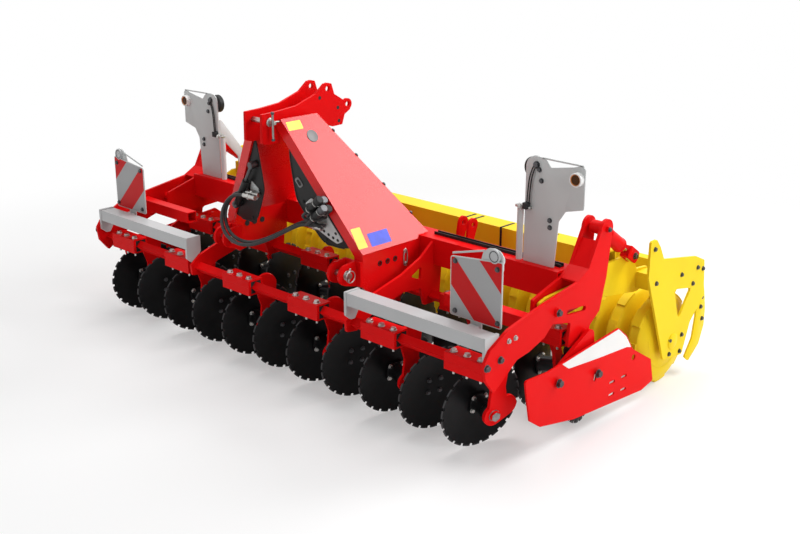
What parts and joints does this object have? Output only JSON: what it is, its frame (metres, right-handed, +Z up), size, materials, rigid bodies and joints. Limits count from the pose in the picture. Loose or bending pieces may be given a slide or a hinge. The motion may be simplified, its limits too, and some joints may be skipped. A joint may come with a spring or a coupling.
{
  "type": "disc harrow",
  "caption": "Tractor-mounted compact disc harrow with notched discs on rubber-sprung arms, a three-point headstock and a ring roller on depth cylinders.",
  "frame": {"origin": "on the ground at the middle of the machine's width and length", "axes": "+X across the machine, -Y towards the tractor, +Z up"},
  "size_m": [2.996, 1.6258, 1.43],
  "materials": {
    "red_paint": "gloss red paint",
    "yellow_paint": "gloss yellow paint",
    "disc_steel": "satin dark coating",
    "grey_paint": "satin light grey paint",
    "black_plastic": "fine grain",
    "rubber": "smooth",
    "bright_steel": "turned",
    "chrome": "polished",
    "orange_lens": "clear moulded lens"
  },
  "bodies": {
    "frame": {"main_beam": "red_paint", "side_frame_left": "red_paint", "side_frame_right": "red_paint", "toolbars": "red_paint", "disc_arms_front": "red_paint", "disc_arms_rear": "red_paint", "clamp_caps": "red_paint", "rubber_cords": "rubber", "toolbar_carriers": "red_paint", "side_stubs": "red_paint", "drill_lugs": "red_paint", "headstock": "red_paint", "top_link_plates": "red_paint", "lower_link_brackets": "red_paint", "hitch_pins": "bright_steel", "inner_covers": "black_plastic", "hose_holders": "grey_paint", "light_bars": "grey_paint", "warning_boards": "grey_paint", "rear_light_boards": "grey_paint", "board_posts": "grey_paint", "lamps": "orange_lens", "hose_rails": "black_plastic", "hose_upper": "rubber", "hose_lower": "rubber"},
    "roller_frame": {"roller_frame": "yellow_paint", "roller_end_plates": "yellow_paint", "scraper_bar": "yellow_paint"},
    "roller": {"roller": "yellow_paint"},
    "cylinder_barrel_left": {"cylinder_barrel_left": "red_paint"},
    "cylinder_barrel_right": {"cylinder_barrel_right": "red_paint"},
    "cylinder_rod_left": {"cylinder_rod_left": "chrome"},
    "cylinder_rod_right": {"cylinder_rod_right": "chrome"},
    "side_board_left": {"side_board_left": "red_paint"},
    "side_board_right": {"side_board_right": "red_paint"},
    "disc_front_01": {"disc_front_01": "disc_steel"},
    "disc_front_02": {"disc_front_02": "disc_steel"},
    "disc_front_03": {"disc_front_03": "disc_steel"},
    "disc_front_04": {"disc_front_04": "disc_steel"},
    "disc_front_05": {"disc_front_05": "disc_steel"},
    "disc_front_06": {"disc_front_06": "disc_steel"},
    "disc_front_07": {"disc_front_07": "disc_steel"},
    "disc_front_08": {"disc_front_08": "disc_steel"},
    "disc_front_09": {"disc_front_09": "disc_steel"},
    "disc_front_10": {"disc_front_10": "disc_steel"},
    "disc_front_11": {"disc_front_11": "disc_steel"},
    "disc_rear_01": {"disc_rear_01": "disc_steel"},
    "disc_rear_02": {"disc_rear_02": "disc_steel"},
    "disc_rear_03": {"disc_rear_03": "disc_steel"},
    "disc_rear_04": {"disc_rear_04": "disc_steel"},
    "disc_rear_05": {"disc_rear_05": "disc_steel"},
    "disc_rear_06": {"disc_rear_06": "disc_steel"},
    "disc_rear_07": {"disc_rear_07": "disc_steel"},
    "disc_rear_08": {"disc_rear_08": "disc_steel"},
    "disc_rear_09": {"disc_rear_09": "disc_steel"},
    "disc_rear_10": {"disc_rear_10": "disc_steel"},
    "disc_rear_11": {"disc_rear_11": "disc_steel"},
    "disc_rear_12": {"disc_rear_12": "disc_steel"}
  },
  "joints": [
    {"name": "roller_depth", "type": "hinge", "parent": "frame", "child": "roller_frame", "pos_m": [0, -0.338, 0.598], "axis": [1, 0, 0], "range_deg": [0, 8]},
    {"name": "cylinder_barrel_left_turn", "type": "hinge", "parent": "frame", "child": "cylinder_barrel_left", "pos_m": [-1.38, 0.011, 0.893], "axis": [1, 0, 0], "range_deg": [-0.5, 12.79]},
    {"name": "cylinder_rod_left_slide", "type": "slide", "parent": "cylinder_barrel_left", "child": "cylinder_rod_left", "axis": [0, 0.8234, -0.5675], "range_m": [-0.0614, 0.002]},
    {"name": "cylinder_barrel_right_turn", "type": "hinge", "parent": "frame", "child": "cylinder_barrel_right", "pos_m": [1.38, 0.011, 0.893], "axis": [1, 0, 0], "range_deg": [-0.5, 12.79]},
    {"name": "cylinder_rod_right_slide", "type": "slide", "parent": "cylinder_barrel_right", "child": "cylinder_rod_right", "axis": [0, 0.8234, -0.5675], "range_m": [-0.0614, 0.002]},
    {"name": "side_board_left_swing", "type": "hinge", "parent": "frame", "child": "side_board_left", "pos_m": [-1.478, -0.396, 0.309], "axis": [1, 0, 0], "range_deg": [0, 6]},
    {"name": "side_board_right_swing", "type": "hinge", "parent": "frame", "child": "side_board_right", "pos_m": [1.478, -0.396, 0.309], "axis": [1, 0, 0], "range_deg": [0, 6]},
    {"name": "roller_spin", "type": "hinge", "parent": "roller_frame", "child": "roller", "pos_m": [0, 0.536, 0.23], "axis": [1, 0, 0], "continuous": true},
    {"name": "disc_front_01_spin", "type": "hinge", "parent": "frame", "child": "disc_front_01", "pos_m": [-1.25, -0.614, 0.2029], "axis": [0.962, -0.2327, -0.1426], "continuous": true},
    {"name": "disc_front_02_spin", "type": "hinge", "parent": "frame", "child": "disc_front_02", "pos_m": [-1, -0.614, 0.2029], "axis": [0.962, -0.2327, -0.1426], "continuous": true},
    {"name": "disc_front_03_spin", "type": "hinge", "parent": "frame", "child": "disc_front_03", "pos_m": [-0.75, -0.614, 0.2029], "axis": [0.962, -0.2327, -0.1426], "continuous": true},
    {"name": "disc_front_04_spin", "type": "hinge", "parent": "frame", "child": "disc_front_04", "pos_m": [-0.5, -0.614, 0.2029], "axis": [0.962, -0.2327, -0.1426], "continuous": true},
    {"name": "disc_front_05_spin", "type": "hinge", "parent": "frame", "child": "disc_front_05", "pos_m": [-0.25, -0.614, 0.2029], "axis": [0.962, -0.2327, -0.1426], "continuous": true},
    {"name": "disc_front_06_spin", "type": "hinge", "parent": "frame", "child": "disc_front_06", "pos_m": [0, -0.614, 0.2029], "axis": [0.962, -0.2327, -0.1426], "continuous": true},
    {"name": "disc_front_07_spin", "type": "hinge", "parent": "frame", "child": "disc_front_07", "pos_m": [0.25, -0.614, 0.2029], "axis": [0.962, -0.2327, -0.1426], "continuous": true},
    {"name": "disc_front_08_spin", "type": "hinge", "parent": "frame", "child": "disc_front_08", "pos_m": [0.5, -0.614, 0.2029], "axis": [0.962, -0.2327, -0.1426], "continuous": true},
    {"name": "disc_front_09_spin", "type": "hinge", "parent": "frame", "child": "disc_front_09", "pos_m": [0.75, -0.614, 0.2029], "axis": [0.962, -0.2327, -0.1426], "continuous": true},
    {"name": "disc_front_10_spin", "type": "hinge", "parent": "frame", "child": "disc_front_10", "pos_m": [1, -0.614, 0.2029], "axis": [0.962, -0.2327, -0.1426], "continuous": true},
    {"name": "disc_front_11_spin", "type": "hinge", "parent": "frame", "child": "disc_front_11", "pos_m": [1.25, -0.614, 0.2029], "axis": [0.962, -0.2327, -0.1426], "continuous": true},
    {"name": "disc_rear_01_spin", "type": "hinge", "parent": "frame", "child": "disc_rear_01", "pos_m": [-1.375, -0.094, 0.2029], "axis": [-0.962, -0.2327, -0.1426], "continuous": true},
    {"name": "disc_rear_02_spin", "type": "hinge", "parent": "frame", "child": "disc_rear_02", "pos_m": [-1.125, -0.094, 0.2029], "axis": [-0.962, -0.2327, -0.1426], "continuous": true},
    {"name": "disc_rear_03_spin", "type": "hinge", "parent": "frame", "child": "disc_rear_03", "pos_m": [-0.875, -0.094, 0.2029], "axis": [-0.962, -0.2327, -0.1426], "continuous": true},
    {"name": "disc_rear_04_spin", "type": "hinge", "parent": "frame", "child": "disc_rear_04", "pos_m": [-0.625, -0.094, 0.2029], "axis": [-0.962, -0.2327, -0.1426], "continuous": true},
    {"name": "disc_rear_05_spin", "type": "hinge", "parent": "frame", "child": "disc_rear_05", "pos_m": [-0.375, -0.094, 0.2029], "axis": [-0.962, -0.2327, -0.1426], "continuous": true},
    {"name": "disc_rear_06_spin", "type": "hinge", "parent": "frame", "child": "disc_rear_06", "pos_m": [-0.125, -0.094, 0.2029], "axis": [-0.962, -0.2327, -0.1426], "continuous": true},
    {"name": "disc_rear_07_spin", "type": "hinge", "parent": "frame", "child": "disc_rear_07", "pos_m": [0.125, -0.094, 0.2029], "axis": [-0.962, -0.2327, -0.1426], "continuous": true},
    {"name": "disc_rear_08_spin", "type": "hinge", "parent": "frame", "child": "disc_rear_08", "pos_m": [0.375, -0.094, 0.2029], "axis": [-0.962, -0.2327, -0.1426], "continuous": true},
    {"name": "disc_rear_09_spin", "type": "hinge", "parent": "frame", "child": "disc_rear_09", "pos_m": [0.625, -0.094, 0.2029], "axis": [-0.962, -0.2327, -0.1426], "continuous": true},
    {"name": "disc_rear_10_spin", "type": "hinge", "parent": "frame", "child": "disc_rear_10", "pos_m": [0.875, -0.094, 0.2029], "axis": [-0.962, -0.2327, -0.1426], "continuous": true},
    {"name": "disc_rear_11_spin", "type": "hinge", "parent": "frame", "child": "disc_rear_11", "pos_m": [1.125, -0.094, 0.2029], "axis": [-0.962, -0.2327, -0.1426], "continuous": true},
    {"name": "disc_rear_12_spin", "type": "hinge", "parent": "frame", "child": "disc_rear_12", "pos_m": [1.375, -0.094, 0.2029], "axis": [-0.962, -0.2327, -0.1426], "continuous": true}
  ],
  "couplings": [
    {"joint": "cylinder_barrel_left_turn", "follows": "roller_depth", "ratio": 1.5359},
    {"joint": "cylinder_rod_left_slide", "follows": "roller_depth", "m_per_rad": -0.42554},
    {"joint": "cylinder_barrel_right_turn", "follows": "roller_depth", "ratio": 1.5359},
    {"joint": "cylinder_rod_right_slide", "follows": "roller_depth", "m_per_rad": -0.42554}
  ]
}
